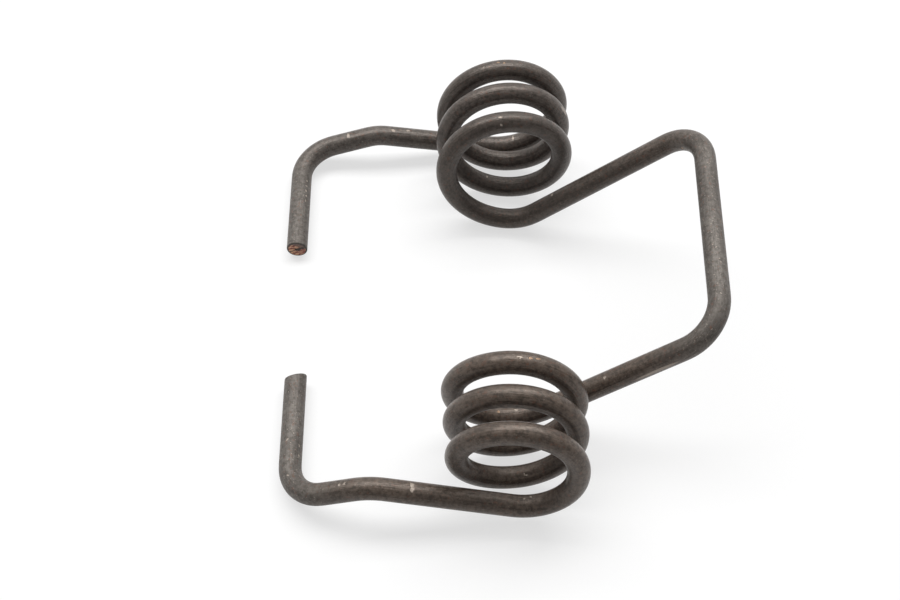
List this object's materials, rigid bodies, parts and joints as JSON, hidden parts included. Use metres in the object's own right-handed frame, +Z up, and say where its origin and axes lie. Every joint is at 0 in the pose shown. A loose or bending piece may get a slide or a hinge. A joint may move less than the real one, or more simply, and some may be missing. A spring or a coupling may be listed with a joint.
{
  "type": "double torsion spring",
  "caption": "Double torsion spring bent from one round steel wire: open coils of opposite hand, joined by a bridge, with a hooked leg at each outer end.",
  "frame": {"origin": "on the coil axis, midway between the inner ends of the two coils", "axes": "+X from the hooks to the bridge, +Y along the coil axis, away from the near coil, +Z up from the surface it lies on"},
  "size_m": [0.0798, 0.0912, 0.0323],
  "materials": {
    "spring_wire": "satin, dark oil-tempered"
  },
  "bodies": {
    "root": {"double_torsion_spring": "spring_wire"}
  },
  "joints": []
}
